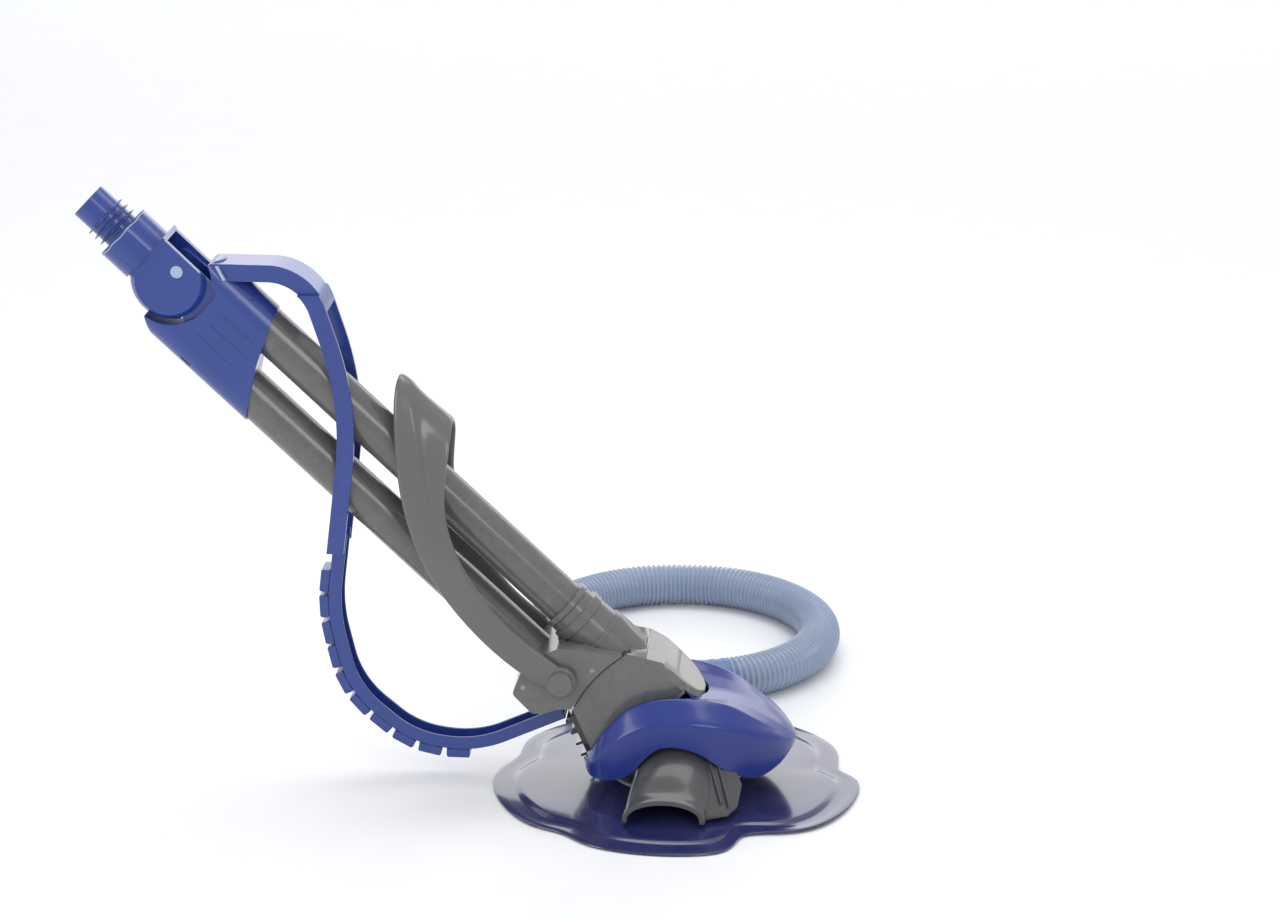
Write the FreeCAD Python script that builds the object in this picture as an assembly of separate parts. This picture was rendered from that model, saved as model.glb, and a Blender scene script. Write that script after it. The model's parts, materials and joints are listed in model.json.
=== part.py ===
import FreeCAD, Part
import math
import os

# A suction pool cleaner. Millimetres. +X runs from the hose end towards the foot's bill, +Z is up.
# The origin is on the seal disc's spin axis, at floor level.
# Most of the machine lies along its two parallel flow tubes, so much of it is drawn in the tube
# frame: s runs down the tubes towards the foot, h stands square to them, upwards and forwards.

V = FreeCAD.Vector

# ---- driving dimensions ----
TUBE_LEAN = 43.9              # degrees between the tubes and the floor
TUBE_R = 22.25                # 1 3/4 inch flow tubes
TUBE_WALL = 2.0
UPPER_H = 57.8                # height of the upper tube's axis in the tube frame
LOWER_H = -1.7
TUBE_START = -645.0           # both tubes end this far up, inside the manifold
UPPER_END = -150.0
LOWER_END = -160.0

NIPPLE_H = 29.5               # the nipple's axis runs midway between the two tubes
NIPPLE_R = 19.05              # 1 1/2 inch hose spigot
NIPPLE_BORE = 16.0
NIPPLE_TIP = -826.0
BARB_R = 23.6
BARBS = (-803.0, -795.5, -788.0)
COLLAR_R = 29.5
COLLAR_START = -779.0
COLLAR_END = -748.0
TILT_PIN = (-717.0, 46.0)     # the knuckle's hinge pin
KNUCKLE_MID = (-716.0, 31.0)  # centre of the knuckle's round cheeks
CHEEK_R = 32.0
BARREL_R = 40.0
CHEEK_HALF = 27.0
SOCKET_R = 42.5               # hollow in the manifold's end that the knuckle sits in

MANIFOLD_R = 24.3             # the manifold wraps both tubes at this radius

BODY_HALF = 42.0              # half width of the front housing
REAR_HALF = 45.0
NOSE_S = -86.0                # the front housing's nose is round in front of this, above NOSE_BASE
NOSE_BASE = 62.0
HANDLE_PIVOT = (-167.0, 11.0)
ARM_INNER = 46.0
ARM_OUTER = 54.0

SEAL_R = 186.0
SEAL_BORE = 62.0
RIM_NOTCHES = ((-61.0, 31.0, 10.0), (-126.0, 9.0, 10.0), (11.0, 18.0, 9.0), (165.0, 14.0, 10.0))
THROAT_R = 40.0
NECK_R = 58.0
PAD_TOP = 4.0                 # the foot pad ring stands on the floor inside the seal
DECK_LOW = 34.0
DECK_TOP = 40.0
FLAPPER_PIN = (-80.0, 30.0)
WALL = 3.5

# hood stations: x, half width and height of the side crease, half width and height of the shoulder,
# half width and height of the dished roof's edge, height of the roof's middle
HOOD_STATIONS = (
    (-90, 30, 33, 22, 36, 10, 38, 38),
    (-82, 60, 44, 50, 52, 36, 52, 52),
    (-66, 70, 62, 58, 78, 42, 75, 74),
    (-46, 75, 78, 58, 99, 42, 94, 92),
    (-15, 77, 90, 57, 110, 42, 105, 102),
    (20, 77, 92, 54, 110, 38, 104, 101),
    (55, 70, 86, 46, 101, 26, 99, 97),
    (82, 58, 77, 38, 84, 20, 86, 86),
    (104, 40, 66, 26, 68, 12, 70, 70.5),
    (119, 17, 54, 11, 55, 5, 56, 56),
)
HOOD_WALL = 3.0

CHANNEL_HALF = 13.0           # half widths of the strap's lower channel and top band
BAND_HALF = 21.0
RAIL_INNER = 22.8
RAIL_OUTER = 26.3
STRAP_DEPTH = 17.0
CHANNEL_OUTER = 4.5           # from the strap's middle line out to the channel's outer face
STRAP_SKIN = 3.5
# the strap's middle line in X and Z, with the radius of each bend
STRAP_ROUTE = (
    (-470.0, 529.0, 0.0),
    (-360.0, 528.0, 52.0),
    (-319.0, 398.0, 300.0),
    (-347.0, 180.0, 170.0),
    (-328.0, 95.0, 100.0),
    (-267.0, 43.0, 95.0),
    (-203.0, 34.0, 110.0),
    (-113.0, 74.0, 0.0),
)
RAIL_TOP = 492.0
RAIL_FOOT = 244.0
BLOCK_COUNT = 10
BLOCK_START = 423.5           # distance of the first block along the strap
BLOCK_PITCH = 26.6
BLOCK_LENGTH = 24.0
BLOCK_DEPTH = 9.0
BLOCK_GAP = 0.5               # between a block's foot and the channel

HOSE_RING_R = 155.0
HOSE_RING_X = -16.0
HOSE_RING_Y = 360.0
HOSE_R = 23.5
HOSE_BORE = 19.5
CUFF_ARC = 19.0               # degrees of the ring taken by each cuff

RUN = 0.06                    # radial running clearance
GAP = 0.4                     # clearance between bodies that pass each other

COS = math.cos(math.radians(TUBE_LEAN))
SIN = math.sin(math.radians(TUBE_LEAN))
Y_AXIS = V(0, 1, 0)
Z_AXIS = V(0, 0, 1)
ALONG = V(COS, 0, -SIN)       # down the tubes
SQUARE = V(SIN, 0, COS)       # square to the tubes

os.makedirs("parts", exist_ok=True)


# ---- helpers ----
def tube_point(s, h, y=0.0):
    return V(COS * s + SIN * h, y, -SIN * s + COS * h)


def plain_point(x, z, y=0.0):
    return V(x, y, z)


def save(name, shape):
    """Write one node, as its separate closed solids."""
    solids = shape.Solids
    clean = solids[0] if len(solids) == 1 else Part.makeCompound(solids)
    if not clean.isValid():
        print("NOT VALID", name)
    clean.exportStep(f"parts/{name}.step")
    print(f"{name:20s} solids {len(solids):2d} volume {clean.Volume / 1000:9.2f} cm3")


def corner_edges(corners, closed, place):
    """Edges through corners (a, b, radius), each corner turned by a tangent arc."""
    count = len(corners)
    edges = []
    last = None
    first = None
    turns = range(count) if closed else range(1, count - 1)
    if not closed:
        last = V(corners[0][0], corners[0][1], 0)
    for i in turns:
        here = V(corners[i][0], corners[i][1], 0)
        before = V(corners[i - 1][0], corners[i - 1][1], 0)
        after = V(corners[(i + 1) % count][0], corners[(i + 1) % count][1], 0)
        into = (here - before).normalize()
        out = (after - here).normalize()
        turn = into.getAngle(out)
        radius = corners[i][2]
        if radius < 0.01 or turn < 1e-4:
            start = end = middle = here
        else:
            reach = radius * math.tan(turn / 2)
            start = here - into * reach
            end = here + out * reach
            inward = (out - into).normalize()
            middle = here + inward * (radius / math.cos(turn / 2) - radius)
        if last is not None and (start - last).Length > 1e-4:
            edges.append(Part.LineSegment(place(last.x, last.y), place(start.x, start.y)).toShape())
        if (end - start).Length > 1e-4:
            arc = Part.Arc(place(start.x, start.y), place(middle.x, middle.y), place(end.x, end.y))
            edges.append(arc.toShape())
        if first is None:
            first = start
        last = end
    finish = first if closed else V(corners[-1][0], corners[-1][1], 0)
    if (finish - last).Length > 1e-4:
        edges.append(Part.LineSegment(place(last.x, last.y), place(finish.x, finish.y)).toShape())
    return edges


def slab(corners, low_y, high_y, place=tube_point):
    """A flat plate with this side outline, from low_y to high_y."""
    wire = Part.Wire(corner_edges(corners, True, lambda a, b: place(a, b, low_y)))
    return Part.Face(wire).extrude(V(0, high_y - low_y, 0))


def both_sides(shape):
    """The shape with its mirror image across the middle plane."""
    twin = shape.mirror(V(0, 0, 0), Y_AXIS)
    return Part.makeCompound(shape.Solids + twin.Solids)


def rod(radius, start, end, h, y=0.0):
    """A round bar along the tubes, at height h."""
    return Part.makeCylinder(radius, end - start, tube_point(start, h, y), ALONG)


def pipe(outer, inner, start, end, h):
    return rod(outer, start, end, h).cut(rod(inner, start - 1, end + 1, h))


def cross_rod(radius, centre, low_y, high_y):
    """A round bar across the machine, centred on a tube-frame point."""
    return Part.makeCylinder(radius, high_y - low_y, tube_point(centre[0], centre[1], low_y), Y_AXIS)


def upright(radius, low, high, x=0.0, y=0.0):
    return Part.makeCylinder(radius, high - low, V(x, y, low), Z_AXIS)


def box(low, high):
    size = V(*high) - V(*low)
    return Part.makeBox(size.x, size.y, size.z, V(*low))


def spun(profile, centre, axis, radial):
    """A solid of revolution: profile points are (distance along the axis, radius)."""
    points = [centre + axis * along + radial * radius for along, radius in profile]
    wire = Part.makePolygon(points + [points[0]])
    return Part.Face(wire).revolve(centre, axis, 360)


def loft(sections):
    return Part.makeLoft([Part.makePolygon(s + [s[0]]) for s in sections], True, False)


def fused(shapes):
    whole = shapes[0]
    for shape in shapes[1:]:
        whole = whole.fuse(shape)
    return whole.removeSplitter()


# ---- flow tubes ----
def tubes():
    save("upper_tube", pipe(TUBE_R, TUBE_R - TUBE_WALL, TUBE_START, UPPER_END, UPPER_H))
    save("lower_tube", pipe(TUBE_R, TUBE_R - TUBE_WALL, TUBE_START, LOWER_END, LOWER_H))


# ---- hose nipple and its swivel ----
def nipple():
    spigot = rod(NIPPLE_R, NIPPLE_TIP, COLLAR_START - 2.5, NIPPLE_H)
    flange = rod(COLLAR_R, COLLAR_START - 2.5, COLLAR_START - GAP, NIPPLE_H)
    stem = rod(NIPPLE_R + 1.5, COLLAR_START - 1, COLLAR_START + 16, NIPPLE_H)
    barbs = [
        spun([(-1.8, NIPPLE_R - 1), (0.0, BARB_R), (0.8, BARB_R), (1.2, NIPPLE_R - 1)],
             tube_point(s, NIPPLE_H), ALONG, SQUARE)
        for s in BARBS
    ]
    lip = rod(NIPPLE_R + 3.0, COLLAR_START + 13, COLLAR_START + 16, NIPPLE_H)
    whole = fused([spigot, flange, stem, lip] + barbs)
    save("hose_nipple", whole.cut(rod(NIPPLE_BORE, NIPPLE_TIP - 1, COLLAR_START + 17, NIPPLE_H)))
    groove = rod(NIPPLE_R + 1.5, COLLAR_START + 5, COLLAR_START + 8.5, NIPPLE_H)
    ring = rod(NIPPLE_R + 2.9, COLLAR_START + 5, COLLAR_START + 8.5, NIPPLE_H)
    save("swivel_o_ring", ring.cut(groove))


def swivel_race():
    """Bearing ring pressed in the collar, which the nipple's stem turns in."""
    outer = rod(NIPPLE_R + 7.0, COLLAR_START + 1, COLLAR_START + 12.6, NIPPLE_H)
    stem_hole = rod(NIPPLE_R + 1.5 + RUN, COLLAR_START, COLLAR_START + 20, NIPPLE_H)
    ring_hole = rod(NIPPLE_R + 3.0, COLLAR_START + 4.6, COLLAR_START + 8.9, NIPPLE_H)
    save("swivel_race", outer.cut(stem_hole).cut(ring_hole))


# ---- knuckle ----
def knuckle():
    """Barrel-shaped elbow head: round cheeks outside, a hollow between them for the manifold's lugs."""
    mid = tube_point(*KNUCKLE_MID)
    barrel = spun([(-CHEEK_HALF, 0), (-CHEEK_HALF, CHEEK_R), (-21, 36.5), (-11, BARREL_R),
                   (11, BARREL_R), (21, 36.5), (CHEEK_HALF, CHEEK_R), (CHEEK_HALF, 0)],
                  mid, Y_AXIS, SQUARE)
    collar = rod(COLLAR_R, COLLAR_START, COLLAR_END, NIPPLE_H)
    neck = rod(COLLAR_R - 2.5, COLLAR_END - 1, -722, NIPPLE_H)
    shroud = slab([(COLLAR_END - 1, 12, 0), (COLLAR_END - 1, 62, 0), (-700, 62, 6), (-689, 50, 8),
                   (-700, 12, 8)], -CHEEK_HALF, CHEEK_HALF)
    head = fused([barrel, collar, neck, shroud])
    head = head.cut(slab([(-746, 61, 0), (-640, 60, 0), (-640, 120, 0), (-746, 120, 0)], -50, 50))
    head = head.cut(rod(NIPPLE_BORE + 1, COLLAR_START - 1, -735, NIPPLE_H))
    head = head.cut(rod(NIPPLE_R + 7.0, COLLAR_START - 1, COLLAR_START + 12.6, NIPPLE_H))
    head = head.cut(rod(NIPPLE_R + 4.5, COLLAR_START, COLLAR_START + 18, NIPPLE_H))
    # the hollow for the manifold's lugs is open behind and above
    head = head.cut(cross_rod(35.5, KNUCKLE_MID, -20, 20))
    head = head.cut(slab([(-700, 13, 0), (-640, -3, 0), (-640, 90, 0), (-744, 90, 0), (-744, 31, 0)], -20, 20))
    head = head.cut(cross_rod(4.0, TILT_PIN, -60, 60))
    head = head.cut(both_sides(cross_rod(6.3, TILT_PIN, 26.2, 40)))
    save("knuckle", head)
    shank = cross_rod(4.0, TILT_PIN, 12.0, 26.2)
    cap = cross_rod(6.2, TILT_PIN, 26.2, 28.4)
    save("knuckle_pins", both_sides(shank.fuse(cap)))


# ---- manifold ----
MANIFOLD_SIDE = (
    (-566, -27, 0), (-690, -27, 14), (-713, -10, 3), (-700, -2, 3), (-673, 20, 10),
    (-673, 58, 8), (-705, 58, 3), (-694, 83, 12), (-622, 83, 0), (-599, 30, 90),
)


def round_bar(start, end, radius):
    """A form that wraps both tubes: two round bars and the flat web between them."""
    upper = rod(radius, start, end, UPPER_H)
    lower = rod(radius, start, end, LOWER_H)
    web = slab([(start, LOWER_H, 0), (end, LOWER_H, 0), (end, UPPER_H, 0), (start, UPPER_H, 0)],
               -radius, radius)
    return fused([upper, lower, web])


def manifold_form():
    return slab(MANIFOLD_SIDE, -40, 40).common(round_bar(-720, -560, MANIFOLD_R))


def manifold():
    """Joins the two tubes and carries the knuckle between two inner lugs."""
    outer = manifold_form().cut(cross_rod(SOCKET_R, KNUCKLE_MID, -60, 60))
    sockets = rod(TUBE_R, TUBE_START, -500, UPPER_H).fuse(rod(TUBE_R, TUBE_START, -500, LOWER_H))
    chamber = slab([(TUBE_START - 14, LOWER_H - 18, 4), (TUBE_START + 0.2, LOWER_H - 18, 0),
                    (TUBE_START + 0.2, UPPER_H + 18, 0), (TUBE_START - 14, UPPER_H + 4, 8)], -18, 18)
    lug = slab([(-729, 38, 8), (-729, 56, 8), (-700, 58, 3), (-664, 58, 0), (-664, 6, 0), (-700, 20, 8)],
               12.0, 19.4)
    throat = rod(11.9, -760, TUBE_START - 8, NIPPLE_H)
    whole = fused([outer] + both_sides(lug).Solids)
    whole = whole.cut(sockets).cut(chamber).cut(throat)
    plug = slab([(-623, 21.5, 2), (-597, 21.5, 2), (-612, 34.6, 2), (-628, 34.6, 2)], -14, 14)
    save("manifold", whole.cut(cross_rod(4.0 + RUN, TILT_PIN, -30, 30)).cut(plug))
    save("float_block", plug)


# ---- bumper strap ----
def moved_route(route, shift):
    """The route moved sideways by shift, to its left as it runs, with each bend's radius to match."""
    count = len(route)
    moved = []
    for i in range(count):
        here = V(route[i][0], route[i][1], 0)
        into = (here - V(*route[i - 1][:2], 0)).normalize() if i > 0 else None
        out = (V(*route[i + 1][:2], 0) - here).normalize() if i < count - 1 else None
        into = into or out
        out = out or into
        left_in = V(-into.y, into.x, 0)
        left_out = V(-out.y, out.x, 0)
        lean = (left_in + left_out) * (shift / (1 + left_in.dot(left_out)))
        turn = into.x * out.y - into.y * out.x
        radius = route[i][2]
        if radius > 0:
            radius = radius - shift if turn > 0 else radius + shift
        moved.append((here.x + lean.x, here.y + lean.y, radius))
    return moved


def ribbon(left, right, low_y, high_y):
    """A strip between two lines beside the strap's route."""
    out_edges = corner_edges(moved_route(STRAP_ROUTE, left), False, lambda a, b: plain_point(a, b, low_y))
    back = moved_route(STRAP_ROUTE, right)[::-1]
    back_edges = corner_edges(back, False, lambda a, b: plain_point(a, b, low_y))
    ends = [(out_edges[-1], back_edges[0]), (back_edges[-1], out_edges[0])]
    joins = []
    for one, other in ends:
        joins.append(Part.LineSegment(one.Vertexes[-1].Point, other.Vertexes[0].Point).toShape())
    wire = Part.Wire(out_edges + [joins[0]] + back_edges + [joins[1]])
    return Part.Face(wire).extrude(V(0, high_y - low_y, 0))


def strap():
    """Top band, two side rails, two joint bars, and the lower channel with its row of outer blocks."""
    half = STRAP_DEPTH / 2
    above = box((-600, -60, RAIL_TOP), (0, 60, 700)).cut(box((-600, -60, 470), (-452, 60, 700)))
    below = box((-600, -60, 0), (0, 60, RAIL_FOOT + 16))
    skin = ribbon(half, half - STRAP_SKIN, -BAND_HALF, BAND_HALF)
    flange = ribbon(half, -half, BAND_HALF - 3.5, BAND_HALF)
    band = fused([skin] + both_sides(flange).Solids).common(above)
    save("strap_top_band", band.cut(manifold_form()))
    rail = ribbon(half, -half, RAIL_INNER, RAIL_OUTER)
    rail = rail.common(box((-600, 0, RAIL_FOOT), (-250, 60, RAIL_TOP + 16)))
    tie = ribbon(half, -half, BAND_HALF, RAIL_INNER)
    tie = tie.common(box((-600, 0, RAIL_TOP), (-250, 60, RAIL_TOP + 16)))
    rail = fused([rail, tie])
    joint_bar = ribbon(half - 5, -half + 5, CHANNEL_HALF, RAIL_INNER)
    joint_bar = joint_bar.common(box((-600, 0, RAIL_FOOT + 2), (-250, 60, RAIL_FOOT + 14)))
    save("strap_rail_left", rail)
    save("strap_rail_right", rail.mirror(V(0, 0, 0), Y_AXIS))
    save("strap_joint_bars", both_sides(joint_bar))
    web = ribbon(-CHANNEL_OUTER + STRAP_SKIN, -CHANNEL_OUTER, -CHANNEL_HALF, CHANNEL_HALF)
    edge = ribbon(half, -CHANNEL_OUTER, CHANNEL_HALF - 3, CHANNEL_HALF)
    save("strap_channel", fused([web] + both_sides(edge).Solids).common(below))
    save("strap_blocks", Part.makeCompound(strap_blocks()))


def run_points(route, pitch, start, count):
    """Places spaced evenly along a route: each a point and the way the route runs there."""
    wire = Part.Wire(corner_edges(route, False, plain_point))
    places = []
    for i in range(count):
        want = start + i * pitch
        for edge in wire.OrderedEdges:
            if want <= edge.Length:
                curve_at = edge.getParameterByLength(want)
                places.append((edge.valueAt(curve_at), edge.tangentAt(curve_at)))
                break
            want -= edge.Length
    return places


def strap_blocks():
    """Stiff blocks that stand in a row on the channel's outer side."""
    blocks = []
    for middle, way in run_points(STRAP_ROUTE, BLOCK_PITCH, BLOCK_START, BLOCK_COUNT):
        out = V(way.z, 0, -way.x)
        place = middle + out * (CHANNEL_OUTER + BLOCK_GAP)
        edge = V(0, -CHANNEL_HALF, 0)
        reach = way * (BLOCK_LENGTH / 2)
        rise = out * BLOCK_DEPTH
        tuck = way * 2
        points = [place - reach, place + reach, place + reach + rise - tuck, place - reach + rise + tuck]
        wire = Part.makePolygon([p + edge for p in points + points[:1]])
        blocks.append(Part.Face(wire).extrude(V(0, 2 * CHANNEL_HALF, 0)))
    return blocks


# ---- grey body ----
def front_block(grow):
    """Outer form of the front housing, grown by a little: a round nose above, square below."""
    side = slab([(-139, 77, 0), (-122, 87, 8), (-106, 93.5, 10), (-44 + grow, 94 + grow, 6),
                 (-38 + grow, 60, 0), (-10 + grow, 58, 0), (-10 + grow, 10, 0), (-66, -34 - grow, 6),
                 (-136, -5 - grow, 0), (-146, 40, 150)], -BODY_HALF - grow, BODY_HALF + grow)
    side = side.cut(box((-300, -90, -60), (200, 90, DECK_TOP)))
    low, mid, high = NOSE_BASE - 120, NOSE_BASE, NOSE_BASE + 60
    lower = side.common(slab([(-170, low, 0), (10, low, 0), (10, mid, 0), (-170, mid, 0)], -60, 60))
    behind = slab([(-170, mid, 0), (NOSE_S, mid, 0), (NOSE_S, high, 0), (-170, high, 0)], -60, 60)
    round_end = Part.makeCylinder(BODY_HALF + grow, high - mid, tube_point(NOSE_S, mid), SQUARE)
    return lower.fuse(side.common(behind.fuse(round_end))).removeSplitter()


def tongue(grow):
    """The sleeve's pointed tongue, which laps over the front housing."""
    side = slab([(-163, 58, 0), (-163, 90 + grow, 0), (-128, 88 + grow, 12), (-112 + grow, 78, 2),
                 (-144, 70 - grow, 20), (-152, 58, 0)], -BODY_HALF, BODY_HALF)
    return side.common(rod(31.5 + grow, -170, -100, UPPER_H))


def front_housing():
    outer = front_block(0)
    hollow = slab([(-170, 70, 0), (-122, 82, 6), (-106, 89, 8), (-50, 89, 4), (-44, 60, 0), (-16, 55, 0),
                   (-16, 14, 0), (-60, -26, 6), (-132, 0, 0), (-170, 5, 0)],
                  -BODY_HALF + WALL, BODY_HALF - WALL)
    floor_hole = box((-60, -36, 0), (10, 36, 80))
    shell = outer.cut(hollow.cut(box((-300, -90, -60), (200, 90, DECK_TOP + WALL)))).cut(tongue(0.5))
    shell = shell.cut(upright(THROAT_R - 4, 0, 60, -22))
    shell = shell.cut(cross_rod(3 + RUN, FLAPPER_PIN, -BODY_HALF + 1.2, BODY_HALF - 1.2))
    save("front_housing", shell)


def rear_housing():
    side = slab([(-200, -14, 6), (-191, -35, 6), (-163, -36, 4), (-155, -29, 3), (-148, -15, 8),
                 (-138.5, -5, 0), (-148.5, 40, 150), (-142, 71, 0), (-173, 50, 30), (-192, 33, 12),
                 (-200, 14, 6)], -REAR_HALF, REAR_HALF)
    side = side.cut(rod(29.0, -215, -130, UPPER_H)).cut(rod(30.6, -168.4, -162, UPPER_H))
    side = side.cut(rod(TUBE_R, -210, LOWER_END, LOWER_H))
    side = side.cut(rod(TUBE_R - TUBE_WALL, -210, -120, LOWER_H))
    side = side.cut(both_sides(cross_rod(6.0, HANDLE_PIVOT, 34, 50))).cut(tongue(0.3))
    save("rear_housing", side)


def gasket():
    """Black seal between the two housings, set back from their skins."""
    plate = slab([(-139.4, 74, 0), (-146.4, 40, 150), (-136.6, -2, 0), (-138.1, -2, 0), (-148.1, 40, 150),
                  (-140.6, 74, 0)], -BODY_HALF + 1.5, BODY_HALF - 1.5)
    plate = plate.cut(rod(19, -170, -120, UPPER_H)).cut(rod(19, -170, -120, LOWER_H))
    save("housing_gasket", plate.cut(front_block(0)).cut(tongue(0.3)))


def sleeve():
    profile = [(-213, TUBE_R), (-213, 26.5), (-208, 27.5), (-206, 25.8), (-198, 26.2), (-197, 29),
               (-188, 29), (-187, 27.5), (-168, 28.5), (-168, 30.5), (-163, 30.5), (-162, 29),
               (-150, 29), (-150, TUBE_R)]
    ring = spun(profile, tube_point(0, UPPER_H), ALONG, SQUARE)
    lap = tongue(0).cut(rod(25.6, -150.2, -100, UPPER_H)).cut(rod(TUBE_R + 1, -220, -140, UPPER_H))
    save("tube_sleeve", ring.fuse(lap).removeSplitter())
    seals = [pipe(TUBE_R - TUBE_WALL - 0.1, TUBE_R - TUBE_WALL - 2.3, s, s + 3.5, h)
             for s, h in ((-158, UPPER_H), (-168, LOWER_H), (-640, UPPER_H), (-640, LOWER_H))]
    save("tube_seals", Part.makeCompound(seals))


def flapper():
    """Oscillating hammer that sends the flow up one tube and then the other."""
    blade = slab([(-128, 26.5, 2), (-128, 33.5, 2), (-88, 41, 8), (-66, 36, 5), (-66, 24, 5),
                  (-88, 19, 8)], -37.6, 37.6)
    blade = blade.cut(cross_rod(3, FLAPPER_PIN, -50, 50))
    save("flapper", blade)
    save("flapper_pin", cross_rod(3, FLAPPER_PIN, -BODY_HALF + 1.6, BODY_HALF - 1.6))
    bars = [cross_rod(2.5, (-122, h), -BODY_HALF + WALL, BODY_HALF - WALL) for h in (49.0, 11.0)]
    save("flapper_stops", Part.makeCompound(bars))


def comb_pieces(grow):
    """Rubber comb on the housing's lower face: a backing strip and four fins."""
    face = [(-128, -8.7), (-80, -28.6)]
    way = V(face[1][0] - face[0][0], face[1][1] - face[0][1], 0).normalize()
    out = V(way.y, -way.x, 0)
    length = math.dist(face[0], face[1])

    def plate(near, far, low, high, half):
        points = []
        for along, off in ((near, low), (far, low), (far, high), (near, high)):
            spot = V(face[0][0], face[0][1], 0) + way * along + out * off
            points.append((spot.x, spot.y, 0))
        return slab(points, -half, half)

    if grow:
        return plate(-3 - grow, length + grow, 0, 15 + grow, 33 + grow)
    backing = plate(0, length, 0.2, 3.5, 33)
    fins = [plate(4 + i * 12.5, 6.6 + i * 12.5, 3.4, 15, 31) for i in range(4)]
    return fused([backing] + fins)


# ---- handle ----
# the bail's strip, from the pivot to the middle of the grip: lower edge s and h, upper edge s and h,
# distance from the middle plane, and how far the strip has rolled over (0 upright, 90 flat)
HANDLE_STRIP = (
    (-160, -4, -163, 26, 50, 0),
    (-200, -11, -206, 17, 50, 0),
    (-244, -15, -256, 14, 50, 0),
    (-304, -10, -310, 25, 49, 0),
    (-354, 4, -341, 39, 46.5, 4),
    (-392, 23, -364, 52, 42, 9),
    (-424, 46, -384, 72, 37, 16),
    (-453, 72, -399, 91, 31, 26),
    (-477, 95, -411, 107, 22.5, 42),
    (-490, 111, -419, 115, 11, 66),
    (-492, 117, -422, 117, 0, 90),
)
STRIP_HALF = 4.2


def strip_section(row, side):
    low_s, low_h, high_s, high_h, y, roll = row
    turn = math.radians(roll)
    off_y = STRIP_HALF * math.cos(turn)
    off_h = STRIP_HALF * math.sin(turn)
    corners = []
    for s, h, way in ((low_s, low_h, 1), (high_s, high_h, 1), (high_s, high_h, -1), (low_s, low_h, -1)):
        corners.append(tube_point(s, h + way * off_h, side * (y + way * off_y)))
    return corners


def handle():
    """A strap-like bail: it rises beside the tubes, leans in and rolls flat over the upper tube."""
    near = [strip_section(row, -1) for row in HANDLE_STRIP]
    far = [strip_section(row, 1) for row in HANDLE_STRIP[-2::-1]]
    bail = loft(near + far)
    eye = both_sides(cross_rod(15.5, HANDLE_PIVOT, ARM_INNER, ARM_OUTER))
    whole = fused([bail] + eye.Solids)
    whole = whole.cut(both_sides(cross_rod(6 + RUN, HANDLE_PIVOT, 40, 60)))
    save("handle", whole.cut(both_sides(cross_rod(12.2, HANDLE_PIVOT, ARM_OUTER - 3, 60))))
    stud = cross_rod(6.0, HANDLE_PIVOT, 34, ARM_OUTER - 2.6)
    cap = cross_rod(11.6, HANDLE_PIVOT, ARM_OUTER - 2.6, ARM_OUTER)
    save("handle_studs", both_sides(stud.fuse(cap)))


# ---- foot ----
def hood_section(station, inset):
    x, crease_y, crease_z, shoulder_y, shoulder_z, edge_y, edge_z, roof = station
    half = [(crease_y - inset, 0), (crease_y - inset, crease_z - inset / 2),
            (shoulder_y - inset * 0.8, shoulder_z - inset), (edge_y, edge_z - inset)]
    outline = half + [(0, roof - inset)] + [(-y, z) for y, z in half[::-1]]
    return [V(x, y, z) for y, z in outline]


def hood():
    outer = loft([hood_section(s, 0) for s in HOOD_STATIONS])
    inner = loft([hood_section(s, HOOD_WALL) for s in HOOD_STATIONS[1:-1]])
    below = slab([(-100, -5, 0), (-100, 27, 0), (-50, 27, 2), (-40, 50, 16), (-6, 71, 45), (34, 60, 40),
                  (66, 32, 12), (84, 27, 10), (108, 38, 20), (125, 52, 0), (125, -5, 0)],
                 -90, 90, plain_point)
    shell = outer.cut(inner).cut(below)
    save("hood", shell.cut(front_block(0.6)).cut(comb_pieces(1.0)))


def wing_section(y, left, right, top, grow):
    arc = []
    steps = 8
    for i in range(steps + 1):
        turn = math.pi * (1 - i / steps)
        middle = (left + right) / 2
        reach = (right - left) / 2 + grow
        arc.append(V(middle + reach * math.cos(turn), y, 8.5 + (top - 8.5 + grow) * math.sin(turn) ** 0.7))
    return arc


def wing():
    """Saddle-shaped deflector that flares down and outwards from under the hood's arch."""
    outer = loft([wing_section(-62, -42, 52, 64, 0), wing_section(-90, -44, 44, 50, 0),
                  wing_section(-122, -45, 32, 27, 0)])
    inner = loft([wing_section(-61, -42, 52, 64, -3.5), wing_section(-90, -44, 44, 50, -3.5),
                  wing_section(-123, -45, 32, 27, -3.5)])
    flange = loft([[V(30, -74, 52), V(66, -70, 40), V(70, -72, 34), V(34, -76, 46)],
                   [V(28, -122, 14), V(60, -112, 12), V(63, -112, 8.6), V(30, -122, 9)]])
    saddle = outer.cut(inner).cut(box((-100, -140, 0), (100, -50, 9.4)))
    return fused([saddle, flange.cut(inner)]).cut(upright(82, 0, 15))


def wings():
    near = wing()
    save("wing_right", near)
    save("wing_left", near.mirror(V(0, 0, 0), Y_AXIS))


def rim_outline(height):
    """The seal's notched rim, as one smooth closed curve."""
    points = []
    step = 4
    for i in range(0, 360, step):
        radius = SEAL_R
        for middle, depth, spread in RIM_NOTCHES:
            off = (i - middle + 180) % 360 - 180
            radius -= depth * math.exp(-((off / spread) ** 2))
        turn = math.radians(i)
        points.append(V(radius * math.cos(turn), radius * math.sin(turn), height))
    curve = Part.BSplineCurve()
    curve.interpolate(Points=points, PeriodicFlag=True)
    return Part.Face(Part.Wire(curve.toShape()))


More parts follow.
